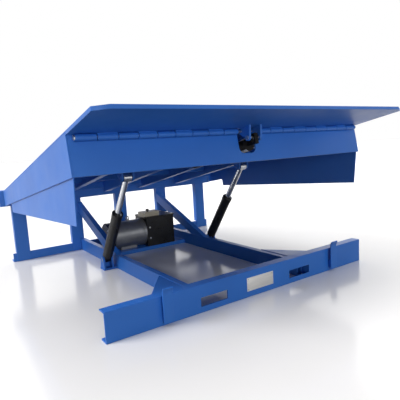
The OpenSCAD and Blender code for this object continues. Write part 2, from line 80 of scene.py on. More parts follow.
# The camera that fits the corners of the deck, frame and lip in the photo.
CAMERA_PLACE = (-1.5283, BEAM[0].y - 1.6919, 0.8550)
CAMERA_TURN = {"yaw": math.radians(34.1054), "pitch": math.radians(7.545), "roll": math.radians(3.3782)}
CAMERA_LENS, CAMERA_SENSOR = 36.82, 36.0
CAMERA_SHIFT = (-0.00025, 0.0015)

# Where each light shines from, and how wide it looks in degrees.
LIGHTS = {
    "key": ((-4.6, 1.4, 3.4), 34),
    "front": ((-1.0, -4.6, 0.6), 20),
    "back": ((3.4, 3.6, 3.6), 75),
}
DOME_POWER = 3.0  # the surroundings stay dim near the horizon and brighten towards the zenith
WHITE = (1, 1, 1, 1)

CREASE = math.radians(40)  # an edge that turns further than this is rounded
SMOOTH = math.radians(35)  # faces that meet at less than this are shaded as one
SAME_POINT = 0.00001  # corners of neighbouring facets that are one point
NOISE_SPAN = {"From Min": 0.3, "From Max": 0.7}  # most of a noise texture's values lie between these
MIX_SHARE, MIX_A, MIX_B, MIX_RESULT = 0, 6, 7, 2  # sockets of the Mix node for colours


# Small helpers


def linear(code):
    """A colour picked in sRGB, as the linear red, green, blue and alpha that a shader takes."""
    parts = [int(code[i:i + 2], 16) / 255 for i in (1, 3, 5)]
    return (*(c / 12.92 if c <= 0.04045 else ((c + 0.055) / 1.055) ** 2.4 for c in parts), 1.0)


def add(tree, kind, ins=None, **props):
    """One node, with its properties, and its inputs set or linked by name or number."""
    node = tree.nodes.new(kind)
    for key, value in props.items():
        setattr(node, key, value)
    for key, value in (ins or {}).items():
        if isinstance(value, bpy.types.NodeSocket):
            tree.links.new(value, node.inputs[key])
        else:
            node.inputs[key].default_value = value
    return node


def new_object(name, data):
    obj = bpy.data.objects.new(name, data)
    bpy.context.scene.collection.objects.link(obj)
    return obj


def mesh_of(name, bm):
    mesh = bpy.data.meshes.new(name)
    bm.to_mesh(mesh)
    bm.free()
    return mesh


def add_box(bm, low, high):
    size = Vector(high) - Vector(low)
    place = Matrix.Translation((Vector(low) + Vector(high)) / 2) @ Matrix.Diagonal((*size, 1))
    return bmesh.ops.create_cube(bm, size=1, matrix=place)["verts"]


def add_round(bm, start, end, radius, radius_end, segments):
    """A closed cylinder or cone between two points."""
    start, end = Vector(start), Vector(end)
    turn = (end - start).to_track_quat("Z", "Y").to_matrix().to_4x4()
    place = Matrix.Translation((start + end) / 2) @ turn
    bmesh.ops.create_cone(
        bm, cap_ends=True, segments=segments, radius1=radius, radius2=radius_end,
        depth=(end - start).length, matrix=place)


def add_ring(bm, centre, axis, radius, tube, segments=40, sides=10):
    """A torus round an axis."""
    turn = Vector(axis).to_track_quat("Z", "Y").to_matrix().to_4x4()
    place = Matrix.Translation(centre) @ turn
    rows = []
    for i in range(segments):
        a = 2 * math.pi * i / segments
        row = []
        for j in range(sides):
            b = 2 * math.pi * j / sides
            r = radius + tube * math.cos(b)
            spot = Vector((r * math.cos(a), r * math.sin(a), tube * math.sin(b)))
            row.append(bm.verts.new(place @ spot))
        rows.append(row)
    for i in range(segments):
        for j in range(sides):
            bm.faces.new((rows[i][j], rows[(i + 1) % segments][j],
                          rows[(i + 1) % segments][(j + 1) % sides], rows[i][(j + 1) % sides]))


def put(name, bm, body, material, bevel=0.0):
    """A finished piece in the row frame, riding on a body."""
    if bevel:
        sharp = [e for e in bm.edges if e.is_manifold and e.calc_face_angle(0) > CREASE]
        bmesh.ops.bevel(bm, geom=sharp, offset=bevel, segments=2, affect="EDGES", profile=0.5)
    bmesh.ops.recalc_face_normals(bm, faces=bm.faces)
    mesh = mesh_of(name, bm)
    for face in mesh.polygons:
        face.use_smooth = True
    mesh.set_sharp_from_angle(angle=SMOOTH)
    mesh.materials.append(material)
    obj = new_object(name, mesh)
    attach(obj, body)


# Materials


def surface(name, tones, tone_mm, film, film_mm, relief_mm, depth_mm,
            metal=0.0, ior=1.5, grain=(1, 1, 1)):
    """Two tones that drift into each other, a film that is rougher in places, and a fine relief.

    Each pattern has its real size in millimetres; grain below 1 draws the patterns out along that axis.
    """
    material = bpy.data.materials.new(name)
    material.use_nodes = True
    tree = material.node_tree
    tree.nodes.clear()
    place = add(tree, "ShaderNodeTexCoord").outputs["Object"]
    along = add(tree, "ShaderNodeMapping", {"Vector": place, "Scale": grain}).outputs["Vector"]
    drift = add(tree, "ShaderNodeTexNoise", {
        "Vector": along, "Scale": 1 / (tone_mm * MM), "Detail": 3.0}).outputs["Fac"]
    share = add(tree, "ShaderNodeMapRange", {"Value": drift, **NOISE_SPAN}).outputs["Result"]
    colour = add(tree, "ShaderNodeMix", {
        MIX_SHARE: share, MIX_A: tones[0], MIX_B: tones[1]}, data_type="RGBA").outputs[MIX_RESULT]
    haze = add(tree, "ShaderNodeTexNoise", {
        "Vector": along, "Scale": 1 / (film_mm * MM), "Detail": 2.0}).outputs["Fac"]
    rough = add(tree, "ShaderNodeMapRange", {
        "Value": haze, **NOISE_SPAN, "To Min": film[0], "To Max": film[1]}).outputs["Result"]
    peel = add(tree, "ShaderNodeTexNoise", {
        "Vector": along, "Scale": 1 / (relief_mm * MM), "Detail": 2.0}).outputs["Fac"]
    relief = add(tree, "ShaderNodeBump", {
        "Height": peel, "Strength": 1.0, "Distance": depth_mm * MM}).outputs["Normal"]
    shader = add(tree, "ShaderNodeBsdfPrincipled", {
        "Base Color": colour, "Roughness": rough, "Normal": relief, "Metallic": metal, "IOR": ior})
    add(tree, "ShaderNodeOutputMaterial", {"Surface": shader.outputs["BSDF"]})
    return material


FINISHES = {}


def mix_finishes(finish):
    """Makes every finish from the colours in the panel, by the record's slot."""
    uneven = 0.03
    FINISHES.update({
        # Enamel sprayed on welded plate: an even film with a broad shine, a slow drift of tone, faint
        # orange peel. The peel of about 1 mm is drawn at 9 mm, so that it shows at all from this far.
        "blue_paint": surface(
            "Blue gloss enamel", (finish.blue_dark, finish.blue_light), tone_mm=450,
            film=(finish.film - uneven, finish.film + uneven), film_mm=110,
            relief_mm=9, depth_mm=0.006, ior=1.45),
        # Satin black machine paint brushed over turned tube and folded sheet: dark, with a broad soft
        # shine.
        "black_paint": surface(
            "Black satin machine paint", (linear("#0E0E10"), linear("#191A1C")), tone_mm=50,
            film=(0.26, 0.4), film_mm=20, relief_mm=6, depth_mm=0.012, ior=1.4),
        # Hard chrome over a ground rod: bright, with grinding marks that run round it. They are a few
        # hundredths of a millimetre wide and drawn at 2 mm.
        "chromed_rod": surface(
            "Hard chrome", (linear("#B4B8BD"), linear("#CDD0D3")), tone_mm=90,
            film=(0.14, 0.24), film_mm=10, relief_mm=2, depth_mm=0.003, metal=1.0, grain=(0.2, 1, 1)),
        # Turned pins and zinc-plated screws: pale, a little cloudy.
        "pin_steel": surface(
            "Zinc-plated steel", (linear("#A3A6A8"), linear("#C6C9CB")), tone_mm=12,
            film=(0.26, 0.4), film_mm=6, relief_mm=2, depth_mm=0.003, metal=1.0),
        # Cast shell, turned smooth and sprayed with grey metallic lacquer: a soft bright band where it
        # faces the light, dark above.
        "motor_casting": surface(
            "Lacquered cast aluminium", (finish.motor_grey, linear("#94969A")), tone_mm=60,
            film=(0.34, 0.42), film_mm=40, relief_mm=8, depth_mm=0.001, metal=0.75),
        # Milled block under a warm passivated coat: dull sheen, cutter lines along its length.
        "valve_metal": surface(
            "Passivated milled aluminium", (linear("#8E897C"), linear("#A6A08F")), tone_mm=20,
            film=(0.36, 0.48), film_mm=10, relief_mm=4, depth_mm=0.01, metal=0.55, grain=(0.1, 1, 4)),
        # Moulded knob and wiper: near black, with a fine eroded grain, drawn at 1.5 mm.
        "black_plastic": surface(
            "Moulded black plastic", (linear("#111112"), linear("#1B1B1D")), tone_mm=10,
            film=(0.45, 0.6), film_mm=4, relief_mm=1.5, depth_mm=0.01),
        # Blackened rod head, oiled and left dull: nearly black, with hardly a reflection; its highlights are
        # painted on as two pale strips.
        "blackened_head": surface(
            "Blackened steel", (linear("#070709"), linear("#0F0F11")), tone_mm=30,
            film=(0.45, 0.55), film_mm=12, relief_mm=4, depth_mm=0.008, ior=1.25),
        # Blank anodised plate brushed along its length: pale, with streaks that soften its shine.
        "label_plate": surface(
            "Anodised aluminium plate", (finish.label_grey, linear("#E6E5E2")), tone_mm=6,
            film=(0.36, 0.46), film_mm=5, relief_mm=3, depth_mm=0.002, metal=0.2, grain=(0.05, 1, 1)),
    })


# Patterns made with geometry nodes


def start_group(name, inputs):
    tree = bpy.data.node_groups.new(name, "GeometryNodeTree")
    tree.interface.new_socket("Geometry", in_out="INPUT", socket_type="NodeSocketGeometry")
    for label, kind in inputs:
        tree.interface.new_socket(label, in_out="INPUT", socket_type="NodeSocket" + kind)
    tree.interface.new_socket("Material", in_out="INPUT", socket_type="NodeSocketMaterial")
    tree.interface.new_socket("Geometry", in_out="OUTPUT", socket_type="NodeSocketGeometry")
    return tree, add(tree, "NodeGroupInput").outputs


def end_group(tree, source, geometry, smooth=False):
    made = add(tree, "GeometryNodeSetShadeSmooth", {
        "Geometry": geometry, "Shade Smooth": smooth}).outputs["Geometry"]
    made = add(tree, "GeometryNodeRealizeInstances", {"Geometry": made}).outputs["Geometry"]
    made = add(tree, "GeometryNodeSetMaterial", {
        "Geometry": made, "Material": source["Material"]}).outputs["Geometry"]
    add(tree, "NodeGroupOutput", {0: made})
    return tree


def copy_to_points(tree, source, piece):
    """A copy of the piece on each point of the mesh, turned as the point says."""
    points = add(tree, "GeometryNodeMeshToPoints", {"Mesh": source["Geometry"]}).outputs["Points"]
    turn = add(tree, "GeometryNodeInputNamedAttribute", {"Name": "turn"}, data_type="FLOAT_VECTOR")
    return add(tree, "GeometryNodeInstanceOnPoints", {
        "Points": points, "Instance": piece, "Rotation": turn.outputs["Attribute"]}).outputs["Instances"]


def hex_bolts():
    """Hexagon heads on washers, one on each point of the mesh."""
    tree, source = start_group("Hex Bolts", [
        ("Across", "Float"), ("Head", "Float"), ("Washer", "Float")])
    middle_share, washer_share = 0.75, 0.5  # of the head's height
    head = add(tree, "GeometryNodeMeshCylinder", {
        "Vertices": 6, "Radius": source["Across"], "Depth": source["Head"]}).outputs["Mesh"]
    lift = add(tree, "ShaderNodeMath", {
        0: source["Head"], 1: middle_share}, operation="MULTIPLY").outputs[0]
    place = add(tree, "ShaderNodeCombineXYZ", {"Z": lift}).outputs["Vector"]
    head = add(tree, "GeometryNodeTransform", {"Geometry": head, "Translation": place}).outputs["Geometry"]
    thin = add(tree, "ShaderNodeMath", {
        0: source["Head"], 1: washer_share}, operation="MULTIPLY").outputs[0]
    washer = add(tree, "GeometryNodeMeshCylinder", {
        "Vertices": 20, "Radius": source["Washer"], "Depth": thin}).outputs["Mesh"]
    join = add(tree, "GeometryNodeJoinGeometry")
    tree.links.new(head, join.inputs[0])
    tree.links.new(washer, join.inputs[0])
    return end_group(tree, source, copy_to_points(tree, source, join.outputs[0]))


def rivet_heads():
    """Low round heads, one on each point of the mesh."""
    tree, source = start_group("Rivet Heads", [
        ("Radius", "Float"), ("Crown", "Float"), ("Height", "Float")])
    head = add(tree, "GeometryNodeMeshCone", {
        "Vertices": 16, "Radius Top": source["Crown"], "Radius Bottom": source["Radius"],
        "Depth": source["Height"]}).outputs["Mesh"]
    return end_group(tree, source, copy_to_points(tree, source, head))


def tread_pattern():
    """Raised lozenges on a grid, each turned across its neighbours, as on chequer plate."""
    tree, source = start_group("Chequer Plate", [
        ("Width", "Float"), ("Length", "Float"), ("Columns", "Int"), ("Rows", "Int"), ("Pitch", "Float"),
        ("Bar Length", "Float"), ("Bar Width", "Float"), ("Bar Height", "Float")])
    crown = 0.45  # of the lozenge's foot
    margin = 0.25  # of a step, so that no point lies where the rounding flips
    grid = add(tree, "GeometryNodeMeshGrid", {
        "Size X": source["Width"], "Size Y": source["Length"],
        "Vertices X": source["Columns"], "Vertices Y": source["Rows"]}).outputs["Mesh"]
    lozenge = add(tree, "GeometryNodeMeshCone", {
        "Vertices": 8, "Radius Top": crown, "Radius Bottom": 1.0, "Depth": 1.0}).outputs["Mesh"]
    size = add(tree, "ShaderNodeCombineXYZ", {
        "X": source["Bar Length"], "Y": source["Bar Width"], "Z": source["Bar Height"]}).outputs["Vector"]
    lozenge = add(tree, "GeometryNodeTransform", {"Geometry": lozenge, "Scale": size}).outputs["Geometry"]
    spot = add(tree, "ShaderNodeSeparateXYZ", {
        0: add(tree, "GeometryNodeInputPosition").outputs[0]}).outputs
    total = add(tree, "ShaderNodeMath", {0: spot["X"], 1: spot["Y"]}, operation="ADD").outputs[0]
    steps = add(tree, "ShaderNodeMath", {0: total, 1: source["Pitch"]}, operation="DIVIDE").outputs[0]
    steps = add(tree, "ShaderNodeMath", {0: steps, 1: margin}, operation="ADD").outputs[0]
    whole = add(tree, "ShaderNodeMath", {0: steps}, operation="FLOOR").outputs[0]
    odd = add(tree, "ShaderNodeMath", {0: whole, 1: 2.0}, operation="FLOORED_MODULO").outputs[0]
    angle = add(tree, "ShaderNodeMath", {
        0: odd, 1: math.pi / 2, 2: math.pi / 4}, operation="MULTIPLY_ADD").outputs[0]
    turn = add(tree, "ShaderNodeCombineXYZ", {"Z": angle}).outputs["Vector"]
    made = add(tree, "GeometryNodeInstanceOnPoints", {
        "Points": grid, "Instance": lozenge, "Rotation": turn}).outputs["Instances"]
    return end_group(tree, source, made)


def weld_beads():
    """A rippled bead along each edge of the mesh."""
    tree, source = start_group("Weld Beads", [
        ("Radius", "Float"), ("Step", "Float"), ("Ripple", "Float")])
    ripple_mm = 6.25
    curve = add(tree, "GeometryNodeMeshToCurve", {"Mesh": source["Geometry"]}).outputs["Curve"]
    curve = add(tree, "GeometryNodeResampleCurve", {
        "Curve": curve, "Length": source["Step"]}, mode="LENGTH").outputs["Curve"]
    ring = add(tree, "GeometryNodeCurvePrimitiveCircle", {
        "Resolution": 6, "Radius": source["Radius"]}).outputs["Curve"]
    bead = add(tree, "GeometryNodeCurveToMesh", {
        "Curve": curve, "Profile Curve": ring, "Fill Caps": True}).outputs["Mesh"]
    place = add(tree, "GeometryNodeInputPosition").outputs[0]
    grain = add(tree, "ShaderNodeTexNoise", {
        "Vector": place, "Scale": 1 / (ripple_mm * MM), "Detail": 1.0}).outputs["Fac"]
    push = add(tree, "ShaderNodeMath", {0: grain, 1: source["Ripple"]}, operation="MULTIPLY").outputs[0]
    normal = add(tree, "GeometryNodeInputNormal").outputs[0]
    offset = add(tree, "ShaderNodeVectorMath", {0: normal, "Scale": push}, operation="SCALE").outputs[0]
    bead = add(tree, "GeometryNodeSetPosition", {"Geometry": bead, "Offset": offset}).outputs["Geometry"]
    return end_group(tree, source, bead, True)


GROUPS = {}


def pattern(name, maker, mesh, values, body, slot, place=None):
    """Runs a node group on a mesh and keeps the result as one plain piece of a body."""
    if maker not in GROUPS:
        GROUPS[maker] = maker()
    tree = GROUPS[maker]
    obj = new_object(name, mesh)
    modifier = obj.modifiers.new("Pattern", "NODES")
    modifier.node_group = tree
    values = dict(values, Material=FINISHES[slot])
    for item in tree.interface.items_tree:
        if item.in_out == "INPUT" and item.name in values:
            modifier[item.identifier] = values[item.name]
    graph = bpy.context.evaluated_depsgraph_get()
    graph.update()
    made = bpy.data.meshes.new_from_object(obj.evaluated_get(graph))
    if not made.polygons:
        raise RuntimeError(f"the pattern {name} came out empty")
    obj.modifiers.clear()
    obj.data = made
    made.name = name
    if place is not None:
        made.transform(place)
    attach(obj, body)


def points_mesh(name, spots):
    """Points with the direction that each copy's own Z takes, and a turn about it."""
    mesh = bpy.data.meshes.new(name)
    mesh.from_pydata([tuple(spot) for spot, _, _ in spots], [], [])
    turns = mesh.attributes.new("turn", "FLOAT_VECTOR", "POINT")
    for i, (_, direction, spin) in enumerate(spots):
        turn = Vector(direction).to_track_quat("Z", "Y").to_matrix() @ Matrix.Rotation(spin, 3, "Z")
        turns.data[i].vector = turn.to_euler()
    return mesh


def lines_mesh(name, lines):
    verts, edges = [], []
    for line in lines:
        first = len(verts)
        verts.extend(tuple(p) for p in line)
        edges.extend((first + i, first + i + 1) for i in range(len(line) - 1))
    mesh = bpy.data.meshes.new(name)
    mesh.from_pydata(verts, edges, [])
    return mesh


# What a user can change


class LevelerSizes(bpy.types.PropertyGroup):
    """Sizes of what is put on the frame."""

    edge: bpy.props.FloatProperty(
        name="Edge Radius", description="Rounding of the painted steel's edges",
        default=0.0014, min=0.0, max=0.004, unit="LENGTH")
    tread_pitch: bpy.props.FloatProperty(
        name="Tread Pitch", description="Spacing of the lozenges on the chequer plate",
        default=0.042, min=0.02, max=0.08, unit="LENGTH")
    tread_height: bpy.props.FloatProperty(
        name="Tread Height", description="Height of the lozenges", default=0.0024, max=0.004, unit="LENGTH")
    label_width: bpy.props.FloatProperty(
        name="Label Width", description="Width of the blank plate on the front beam",
        default=0.200, unit="LENGTH")
    label_low: bpy.props.FloatProperty(
        name="Label Bottom", description="Height of the label's lower edge", default=0.034, unit="LENGTH")
    label_high: bpy.props.FloatProperty(
        name="Label Top", description="Height of the label's upper edge", default=0.111, unit="LENGTH")
    weld: bpy.props.FloatProperty(
        name="Weld Radius", description="Radius of a weld bead", default=0.0032, unit="LENGTH")
    bolt: bpy.props.FloatProperty(
        name="Bolt Size", description="Half of a bolt head's width over corners",
        default=0.006, unit="LENGTH")


class LevelerFinish(bpy.types.PropertyGroup):
    """Colours and gloss of the paint."""

    blue_dark: bpy.props.FloatVectorProperty(
        name="Blue, Dark Tone", description="Darker tone of the enamel", default=linear("#2A6CC6"),
        size=4, min=0.0, max=1.0, subtype="COLOR")
    blue_light: bpy.props.FloatVectorProperty(
        name="Blue, Light Tone", description="Lighter tone of the enamel", default=linear("#3074D0"),
        size=4, min=0.0, max=1.0, subtype="COLOR")
    film: bpy.props.FloatProperty(
        name="Enamel Roughness", description="Roughness of the enamel", default=0.42, min=0.05, max=0.6,
        subtype="FACTOR")
    motor_grey: bpy.props.FloatVectorProperty(
        name="Motor Grey", description="Darker tone of the motor's shell", default=linear("#85878A"),
        size=4, min=0.0, max=1.0, subtype="COLOR")
    label_grey: bpy.props.FloatVectorProperty(
        name="Label Grey", description="Darker tone of the blank label plate", default=linear("#D8D7D5"),
        size=4, min=0.0, max=1.0, subtype="COLOR")


class LevelerStudio(bpy.types.PropertyGroup):
    """Camera and light."""

    place: bpy.props.FloatVectorProperty(
        name="Camera Place", description="Where the camera stands", size=3, subtype="TRANSLATION",
        default=CAMERA_PLACE)
    yaw: bpy.props.FloatProperty(
        name="Yaw", description="Camera's turn to the right", default=CAMERA_TURN["yaw"], subtype="ANGLE")
    pitch: bpy.props.FloatProperty(
        name="Pitch", description="Camera's tilt below the horizon", default=CAMERA_TURN["pitch"],
        subtype="ANGLE")
    roll: bpy.props.FloatProperty(
        name="Roll", description="Camera's roll", default=CAMERA_TURN["roll"], subtype="ANGLE")
    lens: bpy.props.FloatProperty(
        name="Lens", description="Focal length on a 36 mm sensor", default=CAMERA_LENS,
        subtype="DISTANCE_CAMERA")
    key: bpy.props.FloatProperty(
        name="Key Light", description="Strength of the main light from the left", default=2.8, min=0.0)
    front: bpy.props.FloatProperty(
        name="Front Light", description="Strength of the low light from the front", default=1.15, min=0.0)
    back: bpy.props.FloatProperty(
        name="Back Light", description="Strength of the light from behind on the right",
        default=0.9, min=0.0)
    horizon: bpy.props.FloatProperty(
        name="Horizon", description="Brightness of the surroundings at the horizon", default=0.03, min=0.0)
    zenith: bpy.props.FloatProperty(
        name="Zenith", description="Brightness of the surroundings overhead", default=1.25, min=0.0)


# Operators


class LEVELER_OT_paint(bpy.types.Operator):
    """Gives each piece of the frame its material and soft edges"""

    bl_idname = "leveler.paint"
    bl_label = "Paint the Frame"

    def execute(self, context):
        sizes = context.scene.leveler_sizes
        mix_finishes(context.scene.leveler_finish)
        slots = {part["node"]: part["material_slot"] for part in frame["record"]["subparts"]}
        for name, obj in NODES.items():
            obj.data.materials.clear()
            finish = "blackened_head" if name == "lip_rod_head" else slots[name]
            obj.data.materials.append(FINISHES[finish])
            obj.modifiers.new("Join", "WELD").merge_threshold = SAME_POINT
            edge = obj.modifiers.new("Edge", "BEVEL")
            edge.width, edge.segments, edge.limit_method = sizes.edge, 2, "ANGLE"
            edge.angle_limit, edge.use_clamp_overlap = CREASE, True
            obj.modifiers.new("Shade", "WEIGHTED_NORMAL").keep_sharp = False
        return {"FINISHED"}


class LEVELER_OT_label(bpy.types.Operator):
    """Puts the blank plate with its rivets on the front beam"""

    bl_idname = "leveler.label"
    bl_label = "Label Plate"

    def execute(self, context):
        sizes = context.scene.leveler_sizes
        thickness, inset, edge = 0.002, 0.009, 0.0006
        back, half = BEAM[0].y, sizes.label_width / 2
        front = back - thickness
        plate = bmesh.new()
        add_box(plate, (-half, front, sizes.label_low), (half, back, sizes.label_high))
        put("label_plate", plate, "frame", FINISHES["label_plate"], bevel=edge)
        spots = [((x, front, z), (0, -1, 0), 0.0) for x in (-half + inset, half - inset)
                 for z in (sizes.label_low + inset, sizes.label_high - inset)]
        pattern("label_rivets", rivet_heads, points_mesh("label_rivets", spots),
                {"Radius": 0.0035, "Crown": 0.002, "Height": 0.0016}, "frame", "pin_steel")
        return {"FINISHED"}


class LEVELER_OT_plates(bpy.types.Operator):
    """Welds in the small plates: stiffeners beside the fork slots, fillets in the header's opening"""

    bl_idname = "leveler.plates"
    bl_label = "Small Plates"

    def stiffeners(self):
        """A plate across the inside of the beam, just outside each fork slot, up to the gusset."""
        wall, thickness, clear, past, edge = 0.008, 0.008, 0.007, 0.006, 0.001
        low, high = BEAM
        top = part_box("corner_gusset_left")[0].z
        plates = bmesh.new()
        for opening in frame["record"]["physics"]["openings"]:
            end = max((corner[0] for corner in opening["box_m"]), key=abs)
            inner = end + math.copysign(clear, end)
            outer = inner + math.copysign(thickness, end)
            add_box(plates, (min(inner, outer), low.y + wall, low.z + wall),
                    (max(inner, outer), high.y + past, top))
        put("beam_stiffeners", plates, "frame", FINISHES["blue_paint"], edge)

    def corners(self):
        """A fillet in each lower corner of the opening, which laps into the header's steel."""
        half, depth, radius, lap, steps = 0.060, 0.152, 0.033, 0.004, 12
        faces = (0.0006, 0.0094)  # behind the header's front
        bottom = PLATE[1].z - depth
        turns = [i * math.pi / 2 / steps for i in range(steps + 1)]
        outline = [(half - radius + radius * math.cos(t), bottom + radius - radius * math.sin(t))
                   for t in turns]
        outline += [(half - radius, bottom - lap), (half + lap, bottom - lap),
                    (half + lap, bottom + radius)]
        corners = bmesh.new()
        for _, s in SIDES:
            rows = [[corners.verts.new(DECK @ Vector((s * x, PLATE[0].y + face, z))) for x, z in outline]
                    for face in faces]
            corners.faces.new(rows[0])
            corners.faces.new(rows[1])
            for i in range(len(outline)):
                j = (i + 1) % len(outline)
                corners.faces.new((rows[0][i], rows[0][j], rows[1][j], rows[1][i]))
        put("opening_corners", corners, "deck", FINISHES["blue_paint"])

    def execute(self, context):
        self.stiffeners()
        self.corners()
        return {"FINISHED"}


class LEVELER_OT_tread(bpy.types.Operator):
    """Raises the chequer pattern on the deck and on the lip"""

    bl_idname = "leveler.tread"
    bl_label = "Chequer Plate"

    def execute(self, context):
        sizes = context.scene.leveler_sizes
        pitch, height = sizes.tread_pitch, sizes.tread_height
        middle_share, long_share, wide_share = 0.3, 0.44, 0.14  # of the height, the pitch and the pitch
        for name, (low, high), body, border in (
                ("deck_tread", PLATE, "deck", 0.03), ("lip_tread", LIP, "lip", 0.045)):
            width, length = high.x - low.x - 2 * border, high.y - low.y - 2 * border
            columns, rows = int(width / pitch), int(length / pitch)
            place = DECK @ Matrix.Translation((0, (low.y + high.y) / 2, high.z + middle_share * height))
            pattern(name, tread_pattern, bpy.data.meshes.new(name), {
                "Width": (columns - 1) * pitch, "Length": (rows - 1) * pitch,
                "Columns": columns, "Rows": rows, "Pitch": pitch,
                "Bar Length": long_share * pitch, "Bar Width": wide_share * pitch,
                "Bar Height": height}, body, "blue_paint", place)
        return {"FINISHED"}


class LEVELER_OT_bolts(bpy.types.Operator):
    """Bolts the lid and the side of the tank, the motor's end cap and the valve block"""

    bl_idname = "leveler.bolts"
    bl_label = "Bolts"

    def tank_spots(self):
        """Places, directions and turns of the bolts on the tank; heads stop at any turn."""
        low, high = TANK
        overhang, inset, rim, heights = 0.006, 0.031, 0.018, (0.100, 0.192)
        front_turn, back_turn, side_turn = 0.3, 0.2, 0.5
        spots = [((low.x + inset, low.y + overhang, z), (0, -1, 0), front_turn) for z in heights]
        spots += [((x, high.y - rim, high.z), (0, 0, 1), back_turn)
                  for x in (low.x + rim, (low.x + high.x) / 2, high.x - rim)]
        spots += [((high.x - rim, y, high.z), (0, 0, 1), side_turn)
                  for y in ((low.y + high.y) / 2, low.y + rim)]
        return spots

    def cap_spots(self):
        circle, bolts = 0.088, 4
        middle = (CAP[0] + CAP[1]) / 2
        angles = [math.pi / 4 + i * 2 * math.pi / bolts for i in range(bolts)]
        return [((CAP[0].x, middle.y + circle * math.cos(a), middle.z + circle * math.sin(a)),
                 (-1, 0, 0), a) for a in angles]

    def valve_spots(self):
        low, high = VALVE
        side, rim = 0.012, 0.010
        return [((x, low.y, z), (0, -1, 0), 0.0) for x in (low.x + side, high.x - side)
                for z in (low.z + rim, high.z - rim)]

    def execute(self, context):
        size = context.scene.leveler_sizes.bolt
        bolts = points_mesh("frame_bolts", self.tank_spots() + self.cap_spots())
        pattern("frame_bolts", hex_bolts, bolts,
                {"Across": size, "Head": 0.8 * size, "Washer": 1.35 * size}, "frame", "pin_steel")
        screws = points_mesh("valve_screws", self.valve_spots())
        pattern("valve_screws", hex_bolts, screws,
                {"Across": 0.55 * size, "Head": 0.5 * size, "Washer": 0.7 * size}, "frame", "pin_steel")
        return {"FINISHED"}


class LEVELER_OT_cylinders(bpy.types.Operator):
    """Adds wipers, ports and pin clips to the lift cylinders, and two pale strips to the lip rod's head as painted
    highlights
    """

    bl_idname = "leveler.cylinders"
    bl_label = "Cylinder Fittings"

    def wiper(self, side, top, up, rod_radius):
        proud, clear, tube = 0.001, 0.0055, 0.005
        wiper = bmesh.new()
        add_ring(wiper, top + up * proud, up, rod_radius + clear, tube)
        put(f"lift_wiper_{side}", wiper, f"lift_barrel_{side}", FINISHES["black_plastic"])

    def port(self, side, top, up):
        """A nut with a short stub, on the part of the gland that faces the front and the right."""
        right, ahead = Vector((1, 0, 0)), Vector((1, 0, 0)).cross(up)
        right_share, ahead_share = 0.55, 0.835
        from_axis, sunk, nut_top, stub_top = 0.026, 0.002, 0.010, 0.017
        nut, stub, stub_tip, edge = 0.0085, 0.006, 0.005, 0.0008
        out = (right_share * right + ahead_share * ahead).normalized()
        seat = top + out * from_axis - up * sunk
        port = bmesh.new()
        add_round(port, seat, seat + up * nut_top, nut, nut, segments=6)
        add_round(port, seat + up * nut_top, seat + up * stub_top, stub, stub_tip, segments=20)
        put(f"lift_port_{side}", port, f"lift_barrel_{side}", FINISHES["pin_steel"], edge)

    def clips(self, side, foot):
        from_middle, radius, wire = 0.0395, 0.0135, 0.002
        clips = bmesh.new()
        for _, s in SIDES:
            place = foot + Vector((s * from_middle, 0, 0))
            add_ring(clips, place, (1, 0, 0), radius, wire, segments=28, sides=8)
        put(f"foot_clips_{side}", clips, "frame", FINISHES["pin_steel"])

    def lift(self, side):
        foot = Vector(JOINTS[f"lift_{side}_pivot"]["pos_m"])
        up = -Vector(JOINTS[f"lift_{side}_slide"]["axis"]).normalized()
        reach = max((v.co - foot).dot(up) for v in NODES[f"lift_barrel_{side}"].data.vertices)
        rod = [v.co - foot for v in NODES[f"lift_rod_{side}"].data.vertices]
        rod_radius = max(abs(v.x) for v in rod if v.dot(up) < reach)
        top = foot + up * reach
        self.wiper(side, top, up, rod_radius)
        self.port(side, top, up)
        self.clips(side, foot)

    def lip(self):
        half_width, half_length, thickness, proud, behind = 0.009, 0.025, 0.006, 0.0002, 0.0295
        low, high = local_box("lip_rod_head")
        radius = (high.x - low.x) / 2
        top = radius + proud
        # The pale flats are painted highlights: two pale strips along the upper and the lower side of the dull
        # black rod head, standing in for its shine.
        painted_glints = bmesh.new()
        for degrees in (120, 240):
            place = (DECK @ Matrix.Translation((0, high.y - behind, low.z + radius))
                     @ Matrix.Rotation(math.pi / 2 - math.radians(degrees), 4, "Y"))
            flat = add_box(painted_glints, (-half_width, -half_length, top - thickness),
                           (half_width, half_length, top))
            bmesh.ops.transform(painted_glints, matrix=place, verts=flat)
        put("lip_head_flats", painted_glints, "lip_rod", FINISHES["label_plate"], bevel=0.0005)

    def execute(self, context):
        for side, _ in SIDES:
            self.lift(side)
        self.lip()
        return {"FINISHED"}


